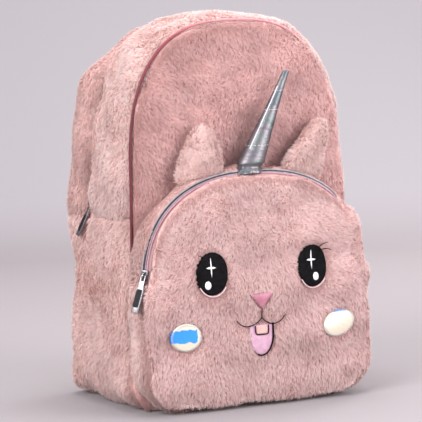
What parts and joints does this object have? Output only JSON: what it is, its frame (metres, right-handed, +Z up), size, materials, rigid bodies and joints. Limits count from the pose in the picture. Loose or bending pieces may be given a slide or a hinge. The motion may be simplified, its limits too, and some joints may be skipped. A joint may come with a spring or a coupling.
{
  "type": "plush backpack",
  "caption": "Small plush backpack with a zipped main bag, a zipped front pocket made as an animal face with ears and a horn, and padded shoulder straps.",
  "frame": {"origin": "middle of the flat underside of the main bag, where it stands", "axes": "+Z up, +X to the right of someone looking at the face, the face looks along -Y"},
  "size_m": [0.2843, 0.2412, 0.407],
  "materials": {
    "plush": "matte",
    "piping": "satin",
    "lining": "matte",
    "zip": "satin",
    "metal": "polished",
    "silver": "gloss",
    "black": "matte",
    "white": "satin",
    "nose": "satin",
    "tongue": "satin",
    "cheek": "gloss",
    "web": "matte",
    "plastic": "satin"
  },
  "bodies": {
    "bag": {"front_gusset": "plush", "rear_gusset": "plush", "lower_gusset": "plush", "main_zip": "lining", "front_panel": "plush", "back_panel": "plush", "front_piping": "piping", "pocket_face": "plush", "pocket_top_gusset": "plush", "pocket_lower_gusset": "plush", "pocket_zip": "zip", "ear_left": "plush", "ear_right": "plush", "horn": "silver", "eye_left": "black", "eye_right": "black", "eye_star_left": "white", "eye_star_right": "white", "eye_glint_left": "white", "eye_glint_right": "white", "nose": "nose", "tongue": "tongue", "cheek_left": "cheek", "cheek_right": "cheek", "main_slider": "metal", "pocket_slider": "metal", "strap_left": "plush", "strap_right": "plush", "strap_lock_left": "plastic", "strap_lock_right": "plastic", "strap_web_left": "web", "strap_web_right": "web", "carry_loop": "web"},
    "main_pull_body": {"main_pull": "metal"},
    "pocket_pull_body": {"pocket_pull": "metal"}
  },
  "joints": [
    {"name": "main_pull_swing", "type": "hinge", "parent": "bag", "child": "main_pull_body", "pos_m": [-0.12995, 0.021, 0.211], "axis": [0, 0.9703, 0.2419], "range_deg": [0, 100]},
    {"name": "pocket_pull_swing", "type": "hinge", "parent": "bag", "child": "pocket_pull_body", "pos_m": [-0.12714, -0.11286, 0.145], "axis": [-0.6964, 0.6964, 0.1736], "range_deg": [0, 100]}
  ]
}
